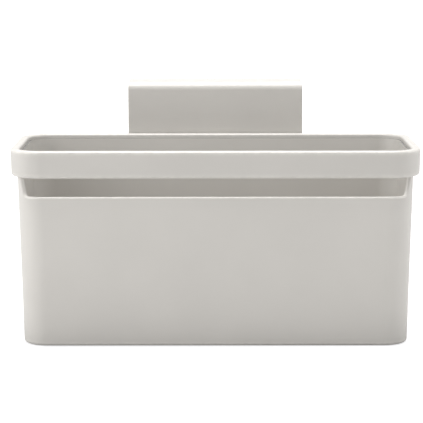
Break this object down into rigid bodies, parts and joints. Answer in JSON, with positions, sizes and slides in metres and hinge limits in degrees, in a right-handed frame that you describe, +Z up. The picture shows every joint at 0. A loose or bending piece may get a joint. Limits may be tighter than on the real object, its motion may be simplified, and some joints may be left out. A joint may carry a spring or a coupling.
{
  "type": "kitchen sink caddy",
  "caption": "Tapered open tub with a lift-off collar round its mouth, a window slot across the front and a wide slide-in hook behind, to hang on a sink edge or door or to stand free.",
  "frame": {"origin": "on the standing plane, through the undersides of the feet, under the middle of the tub", "axes": "+X to the right seen from the front, +Y to the back, where the hook is, +Z up"},
  "size_m": [0.21, 0.1095, 0.1295],
  "materials": {
    "plastic": "fine matte moulded texture, warm light grey",
    "silicone": "soft matte silicone, a shade darker than the plastic"
  },
  "bodies": {
    "tub": {"tub": "plastic", "bumper_left": "silicone", "bumper_right": "silicone", "foot_front_left": "silicone", "foot_front_right": "silicone", "foot_rear_left": "silicone", "foot_rear_right": "silicone"},
    "collar": {"collar": "plastic"},
    "hanger": {"hanger": "plastic", "bridge_pad": "silicone", "leg_pad": "silicone"}
  },
  "joints": [
    {"name": "hanger_slide", "type": "slide", "parent": "tub", "child": "hanger", "axis": [0, 0, 1], "range_m": [0, 0.043]},
    {"name": "collar_lift", "type": "slide", "parent": "tub", "child": "collar", "axis": [0, 0, 1], "range_m": [0, 0.012]}
  ]
}
